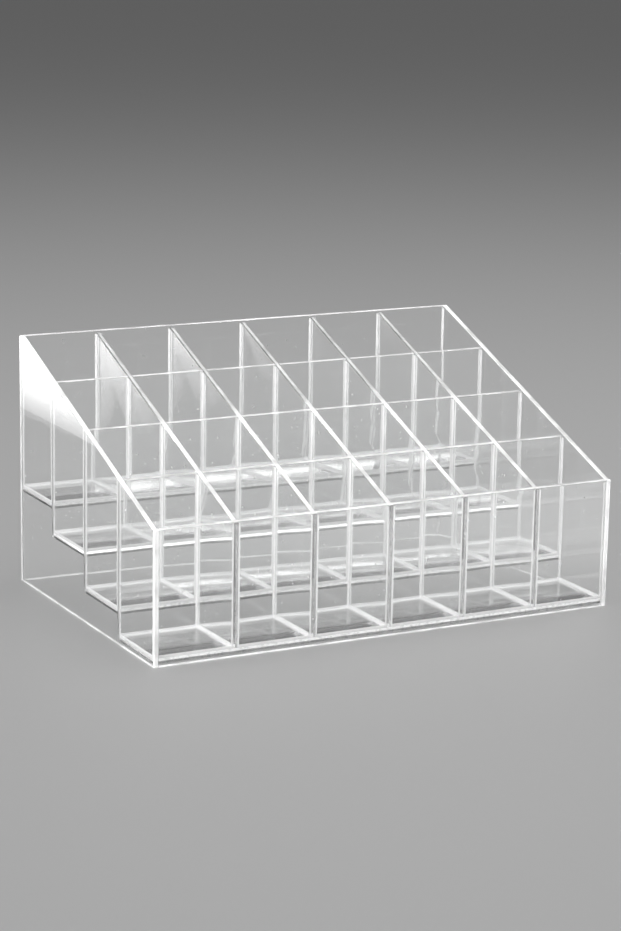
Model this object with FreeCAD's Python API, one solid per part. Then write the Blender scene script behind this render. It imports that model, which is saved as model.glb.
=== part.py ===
import FreeCAD, Part
import os

# Vanity organizer in clear acrylic sheet: a rack of open cells for lipsticks and small tubes.
# The rim slopes from a tall back to a low front, and the floors climb towards the back like stairs.
# All pieces are flat sheet, cemented at their edges. The dividers between the columns drop over the
# cross walls between the rows in half-lap slots, like the dividers of an egg box.
#
# Frame in millimetres: +Z up, +X to the right of a person facing the front, -Y towards that person.
# The origin lies on the table, under the middle of the footprint.
# Rows are counted from the back, and columns from the left.

# Cells
COLUMN_COUNT = 6
CELL_WIDTH = 23.25           # clear width between two dividers
CELL_DEPTH = 23.0            # clear depth between two cross walls

# Heights above the table
BACK_HEIGHT = 77.0           # rim at the back panel
FRONT_HEIGHT = 39.5          # rim at the front panel
ROW_1_LIFT = 28.4            # underside of the back row's shelf
ROW_2_LIFT = 19.6
ROW_3_LIFT = 8.7
ROW_4_LIFT = 0.9             # underside of the front row's shelf

# Sheet thicknesses
SIDE_SHEET = 1.5
BACK_SHEET = 1.5
FRONT_SHEET = 1.5
CROSS_SHEET = 1.5
DIVIDER_SHEET = 1.5
SHELF_SHEET = 1.5

# Fits and finish
CEMENT_FILM = 0.05           # cement between two butted faces
SLOT_PLAY = 0.08             # play between a slot's wall and the sheet in it
RIM_DROP = 0.7               # dividers and cross walls stop this far below the outer rim
ARRIS_RADIUS = 0.3           # flame-polished edges of the rim
ARRIS_SHARE = 0.4            # largest such radius, as a share of the sheet's thickness

# Layout worked out from the sizes above
SHELF_LIFTS = [ROW_1_LIFT, ROW_2_LIFT, ROW_3_LIFT, ROW_4_LIFT]
ROW_COUNT = len(SHELF_LIFTS)
CROSS_WALL_COUNT = ROW_COUNT - 1
DIVIDER_COUNT = COLUMN_COUNT - 1
INNER_WIDTH = COLUMN_COUNT * CELL_WIDTH + DIVIDER_COUNT * DIVIDER_SHEET
INNER_DEPTH = ROW_COUNT * CELL_DEPTH + CROSS_WALL_COUNT * CROSS_SHEET
OUTER_DEPTH = FRONT_SHEET + INNER_DEPTH + BACK_SHEET
INNER_LEFT = -INNER_WIDTH / 2
INNER_RIGHT = INNER_WIDTH / 2
OUTER_FRONT = -OUTER_DEPTH / 2
OUTER_BACK = OUTER_DEPTH / 2
INNER_FRONT = OUTER_FRONT + FRONT_SHEET
INNER_BACK = OUTER_BACK - BACK_SHEET
RIM_SLOPE = (BACK_HEIGHT - FRONT_HEIGHT) / INNER_DEPTH

SAME = 1e-6                  # two coordinates closer than this are the same


def cell_back(row):
    """Y of the wall face behind a row's cells."""
    return INNER_BACK - row * (CELL_DEPTH + CROSS_SHEET)


def cell_front(row):
    """Y of the wall face in front of a row's cells."""
    return cell_back(row) - CELL_DEPTH


def cell_left(column):
    """X of the wall face on the left of a column's cells."""
    return INNER_LEFT + column * (CELL_WIDTH + DIVIDER_SHEET)


def cell_right(column):
    """X of the wall face on the right of a column's cells."""
    return cell_left(column) + CELL_WIDTH


def shelf_top(row):
    return SHELF_LIFTS[row] + SHELF_SHEET


def rim_height(y):
    """Height of the outer rim, which is straight from the front panel to the back panel."""
    return FRONT_HEIGHT + RIM_SLOPE * (y - INNER_FRONT)


def divider_top(y):
    return rim_height(y) - RIM_DROP


def cross_wall_top(wall):
    """A cross wall is level along its top, flush with the dividers at the middle of its thickness."""
    return divider_top(cell_front(wall) - CROSS_SHEET / 2)


def lap_height(wall):
    """Height where a divider's slot ends on a cross wall's slot: half way up the cell in front of it."""
    return (shelf_top(wall) + cross_wall_top(wall)) / 2


def sheet_across_x(outline, left, thickness):
    """Sheet cut to an outline of (y, z) points, as thick as given along X."""
    points = [FreeCAD.Vector(left, y, z) for y, z in outline]
    face = Part.Face(Part.makePolygon(points + points[:1]))
    return face.extrude(FreeCAD.Vector(thickness, 0, 0))


def sheet_across_y(outline, front, thickness):
    """Sheet cut to an outline of (x, z) points, as thick as given along Y."""
    points = [FreeCAD.Vector(x, front, z) for x, z in outline]
    face = Part.Face(Part.makePolygon(points + points[:1]))
    return face.extrude(FreeCAD.Vector(0, thickness, 0))


def polish_rim(sheet, thickness, rim, across):
    """Round both arrises of a sheet's rim. A point is on the rim where its height is rim(point)."""
    def on_rim(point):
        return abs(point.z - rim(point)) < SAME

    def runs_along(edge):
        start, end = (vertex.Point for vertex in edge.Vertexes)
        return abs((end - start).dot(across)) < SAME

    edges = [
        edge
        for edge in sheet.Edges
        if all(on_rim(vertex.Point) for vertex in edge.Vertexes) and runs_along(edge)
    ]
    return sheet.makeFillet(min(ARRIS_RADIUS, ARRIS_SHARE * thickness), edges).Solids[0]


ACROSS_X = FreeCAD.Vector(1, 0, 0)
ACROSS_Y = FreeCAD.Vector(0, 1, 0)


def side_panel(left):
    """Outer wall of full depth. Its rim is level over the front and back panels, and slopes between."""
    def rim(point):
        return min(max(rim_height(point.y), FRONT_HEIGHT), BACK_HEIGHT)

    outline = [
        (OUTER_FRONT, 0),
        (OUTER_BACK, 0),
        (OUTER_BACK, BACK_HEIGHT),
        (INNER_BACK, BACK_HEIGHT),
        (INNER_FRONT, FRONT_HEIGHT),
        (OUTER_FRONT, FRONT_HEIGHT),
    ]
    sheet = sheet_across_x(outline, left, SIDE_SHEET)
    return polish_rim(sheet, SIDE_SHEET, rim, ACROSS_X)


def end_panel(front, thickness, height):
    """Front or back panel, which stands on the table between the two side panels."""
    left = INNER_LEFT + CEMENT_FILM
    right = INNER_RIGHT - CEMENT_FILM
    outline = [(left, 0), (right, 0), (right, height), (left, height)]
    sheet = sheet_across_y(outline, front, thickness)
    return polish_rim(sheet, thickness, lambda point: height, ACROSS_Y)


def cross_wall(wall):
    """Wall between two rows, from the underside of the lower shelf up to the dividers' rim.

    A slot open at the top takes each divider.
    """
    left = INNER_LEFT + CEMENT_FILM
    right = INNER_RIGHT - CEMENT_FILM
    bottom = SHELF_LIFTS[wall + 1]
    top = cross_wall_top(wall)
    slot_end = lap_height(wall) - SLOT_PLAY / 2
    outline = [(left, top), (left, bottom), (right, bottom), (right, top)]
    for column in reversed(range(DIVIDER_COUNT)):
        slot_left = cell_right(column) - SLOT_PLAY
        slot_right = cell_left(column + 1) + SLOT_PLAY
        outline += [
            (slot_right, top),
            (slot_right, slot_end),
            (slot_left, slot_end),
            (slot_left, top),
        ]
    sheet = sheet_across_y(outline, cell_back(wall + 1), CROSS_SHEET)
    return polish_rim(sheet, CROSS_SHEET, lambda point: top, ACROSS_Y)


def shelf(row):
    """Floor of one row, held between the walls behind and in front of it."""
    left = INNER_LEFT + CEMENT_FILM
    right = INNER_RIGHT - CEMENT_FILM
    front = cell_front(row) + CEMENT_FILM
    back = cell_back(row) - CEMENT_FILM
    corner = FreeCAD.Vector(left, front, SHELF_LIFTS[row])
    return Part.makeBox(right - left, back - front, SHELF_SHEET, corner)


def divider(column):
    """Wall on the right of a column, over the full depth.

    Its lower edge steps down from shelf to shelf, its upper edge follows the rim, and a slot open
    at the bottom drops over each cross wall.
    """
    front = INNER_FRONT + CEMENT_FILM
    back = INNER_BACK - CEMENT_FILM
    outline = [(back, divider_top(back)), (back, shelf_top(0) + CEMENT_FILM)]
    for wall in range(CROSS_WALL_COUNT):
        slot_end = lap_height(wall) + SLOT_PLAY / 2
        slot_back = cell_front(wall) + SLOT_PLAY
        slot_front = cell_back(wall + 1) - SLOT_PLAY
        outline += [
            (slot_back, shelf_top(wall) + CEMENT_FILM),
            (slot_back, slot_end),
            (slot_front, slot_end),
            (slot_front, shelf_top(wall + 1) + CEMENT_FILM),
        ]
    outline += [(front, shelf_top(ROW_COUNT - 1) + CEMENT_FILM), (front, divider_top(front))]
    sheet = sheet_across_x(outline, cell_right(column), DIVIDER_SHEET)
    return polish_rim(sheet, DIVIDER_SHEET, lambda point: divider_top(point.y), ACROSS_X)


pieces = {
    "left_side_panel": side_panel(INNER_LEFT - SIDE_SHEET),
    "right_side_panel": side_panel(INNER_RIGHT),
    "back_panel": end_panel(INNER_BACK, BACK_SHEET, BACK_HEIGHT),
    "front_panel": end_panel(OUTER_FRONT, FRONT_SHEET, FRONT_HEIGHT),
}
for wall in range(CROSS_WALL_COUNT):
    pieces[f"cross_wall_{wall + 1}"] = cross_wall(wall)
for row in range(ROW_COUNT):
    pieces[f"shelf_{row + 1}"] = shelf(row)
for column in range(DIVIDER_COUNT):
    pieces[f"divider_{column + 1}"] = divider(column)

os.makedirs("parts", exist_ok=True)
for name, piece in pieces.items():
    piece.exportStep(f"parts/{name}.step")
    print(f"{name}: valid {piece.isValid()}, {piece.ShapeType}, {piece.Volume:.1f} mm3")
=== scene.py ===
import math

import bmesh
import bpy
from mathutils import Matrix, Vector
from mathutils.bvhtree import BVHTree


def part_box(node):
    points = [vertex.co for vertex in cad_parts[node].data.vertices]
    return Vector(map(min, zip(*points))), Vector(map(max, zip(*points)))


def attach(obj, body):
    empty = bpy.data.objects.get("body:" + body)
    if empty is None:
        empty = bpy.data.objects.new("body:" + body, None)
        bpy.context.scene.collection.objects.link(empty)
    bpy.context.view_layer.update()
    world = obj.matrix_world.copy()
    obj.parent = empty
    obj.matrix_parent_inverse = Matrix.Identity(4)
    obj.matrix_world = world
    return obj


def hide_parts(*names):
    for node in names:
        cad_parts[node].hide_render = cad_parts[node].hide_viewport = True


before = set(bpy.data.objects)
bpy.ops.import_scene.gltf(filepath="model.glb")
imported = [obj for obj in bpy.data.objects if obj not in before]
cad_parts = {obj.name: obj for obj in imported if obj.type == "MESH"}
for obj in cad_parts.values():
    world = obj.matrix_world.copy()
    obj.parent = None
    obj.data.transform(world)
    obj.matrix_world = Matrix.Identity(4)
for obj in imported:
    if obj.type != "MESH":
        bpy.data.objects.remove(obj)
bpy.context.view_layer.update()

MM = 0.001
UP = 2                         # index of the Z axis
BODY = "root"

# Pieces of the rack, with rows counted from the back and columns from the left


def numbered(stem):
    """Names of the nodes that are the stem and a number, in order."""
    return sorted(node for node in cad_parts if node.startswith(stem))


SHELVES = numbered("shelf_")
DIVIDERS = numbered("divider_")
ROW_WALLS = ["back_panel", *numbered("cross_wall_"), "front_panel"]
COLUMN_WALLS = ["left_side_panel", *DIVIDERS, "right_side_panel"]
GLOWING_SHELF = "shelf_2"

# Acrylic, with its clearness as the share of light that passes instead of being scattered
REFRACTION = 1.49
TINT = (0.975, 0.977, 0.977, 1)
FACE_CLEARNESS = 0.97
EDGE_CLEARNESS = 0.4
ARRIS_CLEARNESS = 0.1
FRONT_JOINT_CLEARNESS = 0.93   # uprights on the front panel
UPRIGHT_JOINT_CLEARNESS = 0.6
LEVEL_JOINT_CLEARNESS = 0.12   # round the shelves and under the dividers
FILLET_CLEARNESS = 0.35
WAVE_HEIGHT = 0.015 * MM       # waviness of a polished face
CUT_HEIGHT = 0.03 * MM         # marks on a cut edge
RIPPLE_HEIGHT = 0.02 * MM      # unevenness of a fillet

# What one surface lets through of a lamp's light
FACE_SHADOW = (0.957, 0.958, 0.958, 1)
EDGE_SHADOW = (0.755, 0.755, 0.755, 1)
JOINT_SHADOW = (0.905, 0.905, 0.905, 1)
FILLET_SHADOW = (0.953, 0.953, 0.953, 1)

# Sheets
WELD_DISTANCE = 0.001 * MM
FLAT_ANGLE = math.radians(0.5)
SHARP_ANGLE = math.radians(40)
ARRIS = 0.35 * MM              # broken edge of a cut sheet
ARRIS_STEPS = 2
ARRIS_ROUNDNESS = 0.5          # a profile of this value is a quarter circle
FACE_SHARE = 0.9               # a face whose normal is this near the sheet's normal is a clear one
EDGE_SHARE = 0.1               # one whose normal is this far from it is the flat of an edge
JOINT_REACH = 0.1 * MM         # an edge this near another sheet is cemented to it
EMBED = 0.02 * MM              # cemented edges reach this far into each other, so that light passes
FLAT_WEIGHT = 100              # the largest: large faces alone decide how their corners are shaded

# Fillets in the corners of the cells
FILLET_LEG = 0.5 * MM          # along the floor, and along both walls of an upright corner
FILLET_RISE = 0.9 * MM         # up the wall, at the floor
FILLET_STEPS = 6
FILLET_DROP = 0.35 * MM        # below the dividers' rim
RIM_END = 1.0 * MM             # a divider's front top corner is looked for this near its front end

# Stage, in metres and watts
FLOOR_REACH = 12.0
FLOOR_COLOUR = (0.72, 0.72, 0.72, 1)
FLOOR_ROUGHNESS = 0.6
CARD_MIDDLE = 0.5              # share of a card's width where its middle lies
CARD_FADE = 0.3                # share of a card's width over which its light fades towards a side
WHITE = (1, 1, 1, 1)
HORIZON_GLOW = 0.112           # as bright as the far floor, so that no line shows between them
ZENITH_GLOW = 0.15
GLOW_RISE = 0.5                # height on the unit sphere where the glow of the zenith is reached
LIGHT_BOUNCES = 40             # enough to pass all the sheets of the rack

# Camera, worked out from the photograph
IMAGE_HEIGHT = 931             # pixels
FOCAL_LENGTH = 2561.854        # pixels
SENSOR = 36.0                  # millimetres, along the image's height
CAMERA_TARGET = Vector((9.78, 19.54, 35.0)) * MM
CAMERA_DISTANCE = 798.5 * MM
CAMERA_AZIMUTH = math.radians(-27.99)
CAMERA_ELEVATION = math.radians(13.07)
CAMERA_ROLL = math.radians(1.037)
CAMERA_NEAR = 10.0 * MM


# Nodes of a material, a lamp or the world


def add_node(owner, kind, **sockets):
    node = owner.node_tree.nodes.new(kind)
    for name, value in sockets.items():
        node.inputs[name.replace("_", " ")].default_value = value
    return node


def link(owner, source, target):
    owner.node_tree.links.new(source, target)


def noise(owner, scale, detail):
    """Noise over the piece's own coordinates, with the scale in repeats per metre."""
    place = add_node(owner, "ShaderNodeTexCoord")
    texture = add_node(owner, "ShaderNodeTexNoise", Scale=scale, Detail=detail)
    link(owner, place.outputs["Object"], texture.inputs["Vector"])
    return texture.outputs["Fac"]


def between(owner, factor, low, high, start=0.0, end=1.0, eased=False):
    """Value from low to high as the factor goes from start to end."""
    node = add_node(owner, "ShaderNodeMapRange", From_Min=start, From_Max=end, To_Min=low, To_Max=high)
    if eased:
        node.interpolation_type = "SMOOTHSTEP"
    link(owner, factor, node.inputs["Value"])
    return node.outputs["Result"]


def combine(owner, operation, first, second):
    node = add_node(owner, "ShaderNodeMath")
    node.operation = operation
    link(owner, first, node.inputs[0])
    link(owner, second, node.inputs[1])
    return node.outputs["Value"]


def bump(owner, height, distance):
    node = add_node(owner, "ShaderNodeBump", Distance=distance)
    link(owner, height, node.inputs["Height"])
    return node.outputs["Normal"]


# Materials


def new_material(name):
    material = bpy.data.materials.new(name)
    material.use_nodes = True
    material.node_tree.nodes.clear()
    return material


def acrylic(name, clearness):
    """New material of acrylic, and its shader."""
    material = new_material(name)
    shader = add_node(material, "ShaderNodeBsdfPrincipled", IOR=REFRACTION, Transmission_Weight=clearness)
    return material, shader


def finish_clear(material, shader, shadow_tint):
    """Lets lamps through the acrylic, a little dimmed, so that it casts a light shadow."""
    output = add_node(material, "ShaderNodeOutputMaterial")
    path = add_node(material, "ShaderNodeLightPath")
    through = add_node(material, "ShaderNodeBsdfTransparent", Color=shadow_tint)
    mix = add_node(material, "ShaderNodeMixShader")
    link(material, path.outputs["Is Shadow Ray"], mix.inputs[0])
    link(material, shader.outputs["BSDF"], mix.inputs[1])
    link(material, through.outputs["BSDF"], mix.inputs[2])
    link(material, mix.outputs["Shader"], output.inputs["Surface"])
    return material


def acrylic_face():
    """Polished face of a sheet: faintly wavy, with a few smears and specks."""
    material, shader = acrylic("acrylic_face", FACE_CLEARNESS)
    shader.inputs["Base Color"].default_value = TINT
    smears = between(material, noise(material, scale=70, detail=4), low=0.0, high=0.03, start=0.58, end=0.75)
    specks = between(material, noise(material, scale=700, detail=1), low=0.0, high=0.5, start=0.775, end=0.8)
    link(material, combine(material, "MAXIMUM", smears, specks), shader.inputs["Roughness"])
    wave = noise(material, scale=45, detail=1)
    link(material, bump(material, wave, WAVE_HEIGHT), shader.inputs["Normal"])
    return finish_clear(material, shader, FACE_SHADOW)


def acrylic_edge(name, clearness):
    """Cut edge of a sheet: frosted, with fine marks of the cut. Its white varies in random patches, partly
    the frosted edge's own uneven white and partly painted highlight for patchy gloss along the rims.
    """
    material, shader = acrylic(name, clearness)
    # Painted highlight: random whiter and greyer patches of edge colour stand in for patchy highlights along
    # the rims, on top of the frosted edge's own uneven white
    frost_and_highlight_patches = noise(material, scale=140, detail=3)
    whiteness = between(material, frost_and_highlight_patches, low=0.7, high=1.0, start=0.35, end=0.55)
    link(material, whiteness, shader.inputs["Base Color"])
    marks = noise(material, scale=1500, detail=2)
    link(material, between(material, marks, low=0.25, high=0.5), shader.inputs["Roughness"])
    link(material, bump(material, marks, CUT_HEIGHT), shader.inputs["Normal"])
    return finish_clear(material, shader, EDGE_SHADOW)


def acrylic_joint(name, clearness):
    """Cemented edge inside a joint, with a mottled white film."""
    material, shader = acrylic(name, clearness)
    mottle = noise(material, scale=900, detail=2)
    whiteness = between(material, mottle, low=0.8, high=1.0, start=0.35, end=0.5)
    link(material, whiteness, shader.inputs["Base Color"])
    link(material, between(material, mottle, low=0.02, high=0.3), shader.inputs["Roughness"])
    return finish_clear(material, shader, JOINT_SHADOW)


def cement_fillet():
    """Cement drawn into the corners of the cells: milky and glossy, a little uneven."""
    material, shader = acrylic("cement_fillet", FILLET_CLEARNESS)
    shader.inputs["Base Color"].default_value = TINT
    ripple = noise(material, scale=160, detail=2)
    link(material, between(material, ripple, low=0.0, high=0.15), shader.inputs["Roughness"])
    link(material, bump(material, ripple, RIPPLE_HEIGHT), shader.inputs["Normal"])
    return finish_clear(material, shader, FILLET_SHADOW)


def floor_finish():
    material = new_material("studio_floor")
    shader = add_node(
        material, "ShaderNodeBsdfPrincipled", Base_Color=FLOOR_COLOUR, Roughness=FLOOR_ROUGHNESS
    )
    output = add_node(material, "ShaderNodeOutputMaterial")
    link(material, shader.outputs["BSDF"], output.inputs["Surface"])
    return material


FACE = acrylic_face()
EDGE = acrylic_edge("acrylic_edge", EDGE_CLEARNESS)
ARRIS_EDGE = acrylic_edge("acrylic_arris", ARRIS_CLEARNESS)
FRONT_JOINT = acrylic_joint("front_joint", FRONT_JOINT_CLEARNESS)
UPRIGHT_JOINT = acrylic_joint("upright_joint", UPRIGHT_JOINT_CLEARNESS)
LEVEL_JOINT = acrylic_joint("level_joint", LEVEL_JOINT_CLEARNESS)
SHEET_FINISHES = [FACE, EDGE, ARRIS_EDGE, FRONT_JOINT, UPRIGHT_JOINT, LEVEL_JOINT]
FILLET = cement_fillet()


# Objects


def add_object(name, data):
    made = bpy.data.objects.new(name, data)
    bpy.context.scene.collection.objects.link(made)
    return made


def add_piece(name, shape, materials):
    """New piece of the rack from a shape, which is used up."""
    mesh = bpy.data.meshes.new(name)
    shape.to_mesh(mesh)
    shape.free()
    for material in materials:
        mesh.materials.append(material)
    piece = add_object(name, mesh)
    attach(piece, BODY)
    return piece


# Sheets


def solid(node):
    """The node's mesh, welded, with its flat faces in one piece each."""
    shape = bmesh.new()
    shape.from_mesh(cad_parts[node].data)
    bmesh.ops.remove_doubles(shape, verts=shape.verts, dist=WELD_DISTANCE)
    bmesh.ops.dissolve_limit(shape, angle_limit=FLAT_ANGLE, verts=shape.verts, edges=shape.edges)
    shape.normal_update()
    return shape


def surface(node):
    """The node's surface, for looking up the nearest point."""
    shape = solid(node)
    tree = BVHTree.FromBMesh(shape)
    shape.free()
    return tree


SURFACES = {node: surface(node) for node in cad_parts}


def joint_mate(node, point):
    """Gap from a point on a sheet's edge to the sheet that it is cemented to, and that sheet's name.

    None where the edge is free.
    """
    mates = []
    for other, tree in SURFACES.items():
        if other != node:
            *_, gap = tree.find_nearest(point, JOINT_REACH)
            if gap is not None:
                mates.append((gap, other))
    return min(mates) if mates else None


def cemented_edges(node, shape, across):
    """The flats of a sheet's edges that are cemented, each with its gap and the name of its mate."""
    joints = {}
    for face in shape.faces:
        if abs(face.normal[across]) < EDGE_SHARE:
            mate = joint_mate(node, face.calc_center_median())
            if mate is not None:
                joints[face] = mate
    return joints


def close_gaps(joints):
    """Moves cemented edges a little way into the sheets that they are cemented to."""
    moves = {}
    for face, (gap, _) in joints.items():
        for vertex in face.verts:
            moves[vertex] = moves.get(vertex, Vector()) + face.normal * (gap + EMBED)
    for vertex, move in moves.items():
        vertex.co += move


def sheet_finish(face, across, joints):
    """Material of one face of a sheet, which is thin along the axis across."""
    share = abs(face.normal[across])
    if share > FACE_SHARE:
        return FACE
    if face in joints:
        _, mate = joints[face]
        if across == UP or abs(face.normal[UP]) > EDGE_SHARE:
            return LEVEL_JOINT
        return FRONT_JOINT if mate == "front_panel" else UPRIGHT_JOINT
    return EDGE if share < EDGE_SHARE else ARRIS_EDGE


def clear_sheet(node):
    """Copy of a sheet's solid, with broken arrises and with edges that close up with its neighbours."""
    low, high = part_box(node)
    size = high - low
    across = min(range(3), key=lambda axis: size[axis])
    shape = solid(node)
    joints = cemented_edges(node, shape, across)
    close_gaps(joints)
    for face in shape.faces:
        face.smooth = True
        face.material_index = SHEET_FINISHES.index(sheet_finish(face, across, joints))
    sharp = [
        edge
        for edge in shape.edges
        if edge.calc_face_angle() > SHARP_ANGLE and not any(face in joints for face in edge.link_faces)
    ]
    bmesh.ops.bevel(
        shape,
        geom=sharp,
        offset=ARRIS,
        segments=ARRIS_STEPS,
        profile=ARRIS_ROUNDNESS,
        affect="EDGES",
        material=SHEET_FINISHES.index(ARRIS_EDGE),
    )
    piece = add_piece(f"{node}_sheet", shape, SHEET_FINISHES)
    weighted = piece.modifiers.new("flat_faces", "WEIGHTED_NORMAL")
    weighted.weight = FLAT_WEIGHT
    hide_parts(node)
    return piece


# Fillets

# Directions of a quarter turn, from along the first axis to along the second
ARC = [Vector((FILLET_STEPS - step, step)).normalized() for step in range(FILLET_STEPS + 1)]


def rim_line():
    """Height of the dividers' rim, as a function of y."""
    divider = DIVIDERS[0]
    low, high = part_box(divider)
    corners = [vertex.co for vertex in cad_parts[divider].data.vertices]
    front_top = max(corner.z for corner in corners if corner.y < low.y + RIM_END)
    slope = (high.z - front_top) / (high.y - low.y)
    return lambda y: front_top + slope * (y - low.y)


def patch(shape, *points, smooth=False):
    """Face through the points, with vertices of its own, which are welded later."""
    face = shape.faces.new([shape.verts.new(point) for point in points])
    face.smooth = smooth


def corner_fillet(shape, corner, inner, top):
    """Fillet up one corner of a cell, with a rounded foot where the fillets along the floor meet it.

    The walls and the floor meet at corner. The foot is rounded about inner, and the fillet ends at the
    height top(y).
    """
    reach = corner - inner

    def upright(step, z=None):
        """Point of the upright round at the height z, or else at its upper end."""
        x = inner.x + reach.x * ARC[step].x
        y = inner.y + reach.y * ARC[step].y
        return (x, y, top(y) if z is None else z)

    def foot(x_steps, y_steps):
        """Point of the rounded foot, so many steps from the floor towards the two walls."""
        direction = Vector((x_steps, y_steps, FILLET_STEPS - x_steps - y_steps))
        return inner + reach * direction.normalized()

    heel = (corner.x, corner.y, inner.z)
    heel_top = (corner.x, corner.y, top(corner.y))
    toe_x = (inner.x, corner.y, corner.z)
    toe_y = (corner.x, inner.y, corner.z)
    first = upright(0, inner.z)
    last = upright(FILLET_STEPS, inner.z)
    for step in range(FILLET_STEPS):
        ends = (upright(step + 1), upright(step))
        patch(shape, upright(step, inner.z), upright(step + 1, inner.z), *ends, smooth=True)
        patch(shape, *ends, heel_top)
    patch(shape, first, upright(0), heel_top, heel)
    patch(shape, last, upright(FILLET_STEPS), heel_top, heel)
    patch(shape, first, heel, corner, toe_y)
    patch(shape, last, heel, corner, toe_x)
    patch(shape, foot(0, 0), toe_y, corner, toe_x)
    for i in range(FILLET_STEPS):
        for j in range(FILLET_STEPS - i):
            patch(shape, foot(i, j), foot(i + 1, j), foot(i, j + 1), smooth=True)
            if i + j + 1 < FILLET_STEPS:
                patch(shape, foot(i + 1, j), foot(i + 1, j + 1), foot(i, j + 1), smooth=True)


def along_x(along, across, z):
    return (along, across, z)


def along_y(along, across, z):
    return (across, along, z)


def floor_fillet(shape, place, start, end, wall, inner, floor_top):
    """Fillet along the foot of a wall from start to end, which reaches across the floor to inner.

    place is along_x or along_y, after the way that the wall runs.
    """
    ledge = floor_top + FILLET_RISE

    def strip(near, far, smooth=False):
        corners = [place(start, *near), place(end, *near), place(end, *far), place(start, *far)]
        patch(shape, *corners, smooth=smooth)

    curve = [(inner + (wall - inner) * turn.x, ledge - FILLET_RISE * turn.y) for turn in ARC]
    for near, far in zip(curve, curve[1:]):
        strip(near, far, smooth=True)
    strip((wall, ledge), (wall, floor_top))
    strip((wall, floor_top), (inner, floor_top))


def cell_fillets(shape, low, high, top):
    """Fillets up the four corners of a cell and round its floor, as one closed form.

    The cell's walls stand at low and high, and its floor is at low. The fillets end at the height top(y).
    """
    left = low.x + FILLET_LEG
    right = high.x - FILLET_LEG
    front = low.y + FILLET_LEG
    back = high.y - FILLET_LEG
    side_walls = ((low.x, left), (high.x, right))
    end_walls = ((low.y, front), (high.y, back))
    for wall_x, inner_x in side_walls:
        for wall_y, inner_y in end_walls:
            corner = Vector((wall_x, wall_y, low.z))
            inner = Vector((inner_x, inner_y, low.z + FILLET_RISE))
            corner_fillet(shape, corner, inner, top)
    for wall, inner in end_walls:
        floor_fillet(shape, along_x, left, right, wall, inner, low.z)
    for wall, inner in side_walls:
        floor_fillet(shape, along_y, front, back, wall, inner, low.z)


def row_fillets(row):
    """Fillets of all the cells in a row."""
    rim = rim_line()
    floor_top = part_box(SHELVES[row])[1].z
    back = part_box(ROW_WALLS[row])[0].y
    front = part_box(ROW_WALLS[row + 1])[1].y
    shape = bmesh.new()
    for left_wall, right_wall in zip(COLUMN_WALLS, COLUMN_WALLS[1:]):
        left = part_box(left_wall)[1].x
        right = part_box(right_wall)[0].x
        low = Vector((left - EMBED, front - EMBED, floor_top - EMBED))
        high = Vector((right + EMBED, back + EMBED, rim(back)))
        cell_fillets(shape, low, high, lambda y: rim(y) - FILLET_DROP)
    bmesh.ops.remove_doubles(shape, verts=shape.verts, dist=WELD_DISTANCE)
    bmesh.ops.recalc_face_normals(shape, faces=shape.faces)
    for edge in shape.edges:
        edge.smooth = all(face.smooth for face in edge.link_faces)
    return add_piece(f"cement_fillets_row_{row + 1}", shape, [FILLET])


sheets = {node: clear_sheet(node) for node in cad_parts}
fillets = [row_fillets(row) for row in range(len(SHELVES))]


# Stage


def floor():
    mesh = bpy.data.meshes.new("floor")
    corners = [(x * FLOOR_REACH, y * FLOOR_REACH, 0) for x, y in ((-1, -1), (1, -1), (1, 1), (-1, 1))]
    mesh.from_pydata(corners, [], [(0, 1, 2, 3)])
    mesh.materials.append(floor_finish())
    piece = add_object("floor", mesh)


def area_light(name, place, aim, size, watts):
    """Lamp at a place that shines towards the point aim, with its size as width and height."""
    light = bpy.data.lights.new(name, "AREA")
    light.shape = "RECTANGLE"
    light.size, light.size_y = size
    light.energy = watts
    lamp = add_object(name, light)
    lamp.location = place
    lamp.rotation_euler = (Vector(place) - Vector(aim)).to_track_quat("Z", "Y").to_euler()
    lamp.visible_camera = False
    return lamp


def soften(light):
    """Fades a card out towards its four sides."""
    light.use_nodes = True
    place = add_node(light, "ShaderNodeNewGeometry")
    split = add_node(light, "ShaderNodeSeparateXYZ")
    link(light, place.outputs["Parametric"], split.inputs["Vector"])
    fades = []
    for axis in "XY":
        ramp = add_node(light, "ShaderNodeMath")
        ramp.operation = "PINGPONG"
        ramp.inputs[1].default_value = CARD_MIDDLE
        link(light, split.outputs[axis], ramp.inputs[0])
        fades.append(between(light, ramp.outputs["Value"], low=0.0, high=1.0, end=CARD_FADE, eased=True))
    strength = light.node_tree.nodes["Emission"].inputs["Strength"]
    link(light, combine(light, "MULTIPLY", *fades), strength)


def light_only(lamps, pieces, name):
    """Keeps the light of lamps on the given pieces."""
    group = bpy.data.collections.new(name)
    for piece in pieces:
        group.objects.link(piece)
    for lamp in lamps:
        lamp.light_linking.receiver_collection = group


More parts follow.
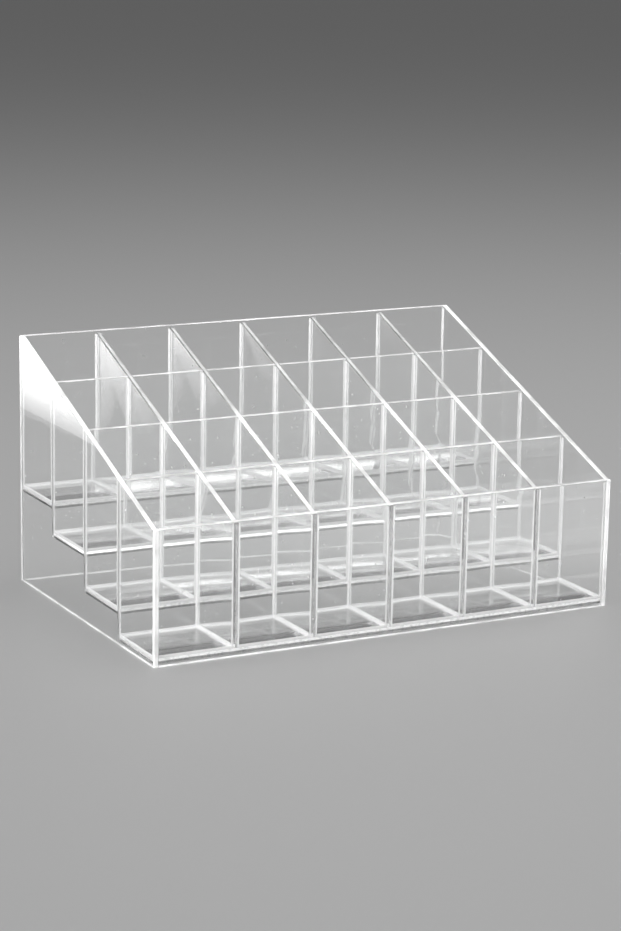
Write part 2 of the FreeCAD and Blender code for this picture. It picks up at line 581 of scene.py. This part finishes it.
def studio_lights():
    """A soft lamp over the stage, and cards that light only the rack and draw its edges and reflections."""
    area_light("overhead", place=(0.1, -0.05, 1.1), aim=(0, 0, 0), size=(0.9, 0.9), watts=6.5)
    front_cards = [
        area_light("left_key", place=(-0.55, -0.32, 0.2), aim=(0, 0, 0.04), size=(0.5, 0.36), watts=10.5),
        area_light("right_fill", place=(0.5, -0.25, 0.22), aim=(0, 0, 0.04), size=(0.5, 0.4), watts=6.8),
        area_light(
            "front_bounce", place=(0.12, -0.135, 0.002), aim=(0.12, -0.135, 1), size=(0.34, 0.14), watts=0.22
        ),
    ]
    back_cards = [
        area_light("back_glint", place=(0.25, 0.47, 0.6), aim=(0, 0, 0.05), size=(0.4, 0.4), watts=3.0),
        area_light(
            "left_back_card", place=(-0.17, 0.25, 0.07), aim=(0, 0.25, 0.07), size=(0.14, 0.16), watts=0.5
        ),
        area_light(
            "left_far_card", place=(-0.17, 0.4, 0.07), aim=(0, 0.4, 0.07), size=(0.26, 0.16), watts=0.33
        ),
        area_light("back_strip", place=(0.27, 0.5, 0.165), aim=(0, 0, 0.02), size=(0.24, 0.11), watts=0.32),
    ]
    cards = front_cards + back_cards
    # This card draws the bright front edge of one shelf
    shelf_glow = area_light(
        "shelf_glow", place=(-0.06, -0.2, 0.1), aim=(-0.02, 0, 0.02), size=(0.1, 0.1), watts=1.6
    )
    for card in cards:
        soften(card.data)
    for card in [*front_cards, shelf_glow]:
        card.visible_transmission = False
    light_only(cards, [*sheets.values(), *fillets], "lit_by_cards")
    light_only([shelf_glow], [sheets[GLOWING_SHELF]], "lit_by_shelf_glow")


def studio_world():
    """Even white glow round the stage, a little stronger overhead."""
    world = bpy.data.worlds.new("studio")
    world.use_nodes = True
    place = add_node(world, "ShaderNodeTexCoord")
    split = add_node(world, "ShaderNodeSeparateXYZ")
    link(world, place.outputs["Generated"], split.inputs["Vector"])
    glow = between(world, split.outputs["Z"], low=HORIZON_GLOW, high=ZENITH_GLOW, end=GLOW_RISE, eased=True)
    background = world.node_tree.nodes["Background"]
    background.inputs["Color"].default_value = WHITE
    link(world, glow, background.inputs["Strength"])
    bpy.context.scene.world = world


def photo_camera():
    """Camera at the photograph's viewing angle."""
    settings = bpy.data.cameras.new("camera")
    settings.sensor_fit = "VERTICAL"
    settings.sensor_height = SENSOR
    settings.lens = FOCAL_LENGTH / IMAGE_HEIGHT * SENSOR
    settings.clip_start = CAMERA_NEAR
    backward = Vector(
        (
            math.sin(CAMERA_AZIMUTH) * math.cos(CAMERA_ELEVATION),
            -math.cos(CAMERA_AZIMUTH) * math.cos(CAMERA_ELEVATION),
            math.sin(CAMERA_ELEVATION),
        )
    )
    place = Matrix.Translation(CAMERA_TARGET + backward * CAMERA_DISTANCE)
    level = backward.to_track_quat("Z", "Y").to_matrix().to_4x4()
    camera = add_object("camera", settings)
    camera.matrix_world = place @ level @ Matrix.Rotation(CAMERA_ROLL, 4, "Z")
    bpy.context.scene.camera = camera


def light_paths():
    """Enough bounces for clear sheets behind each other, plain colours and no caustics."""
    scene = bpy.context.scene
    scene.view_settings.view_transform = "Standard"
    scene.cycles.max_bounces = LIGHT_BOUNCES
    scene.cycles.transmission_bounces = LIGHT_BOUNCES
    scene.cycles.transparent_max_bounces = LIGHT_BOUNCES
    scene.cycles.caustics_reflective = False
    scene.cycles.caustics_refractive = False


floor()
studio_lights()
studio_world()
photo_camera()
light_paths()
